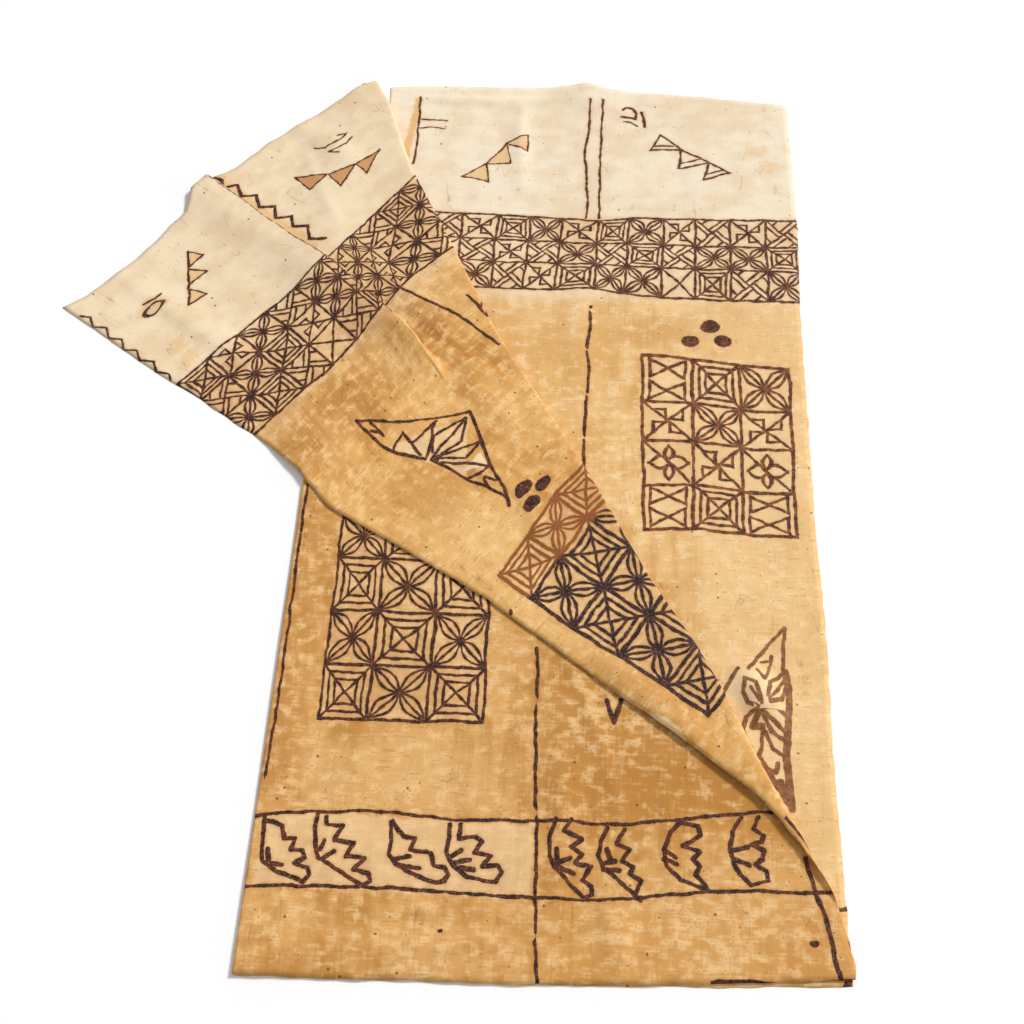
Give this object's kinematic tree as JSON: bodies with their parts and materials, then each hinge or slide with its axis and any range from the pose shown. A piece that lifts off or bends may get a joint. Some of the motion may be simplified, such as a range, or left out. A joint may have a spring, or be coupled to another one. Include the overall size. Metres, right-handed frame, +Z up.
{
  "type": "painted tapa bark cloth, folded",
  "caption": "Large painted bark cloth sheet folded once lengthwise, the far corner of its upper half turned back slantwise over the fold with a tapering pleat",
  "frame": {"origin": "on the surface that the cloth lies on, under the middle of its bounding box", "axes": "+Y runs along the long fold towards the pale end of the cloth, +X from the turned-back flap towards the free side of the floor half, +Z up"},
  "size_m": [1.3973, 1.8489, 0.0265],
  "materials": {
    "bark": "matt beaten bark"
  },
  "bodies": {
    "root": {"bark_cloth": "bark"}
  },
  "joints": []
}
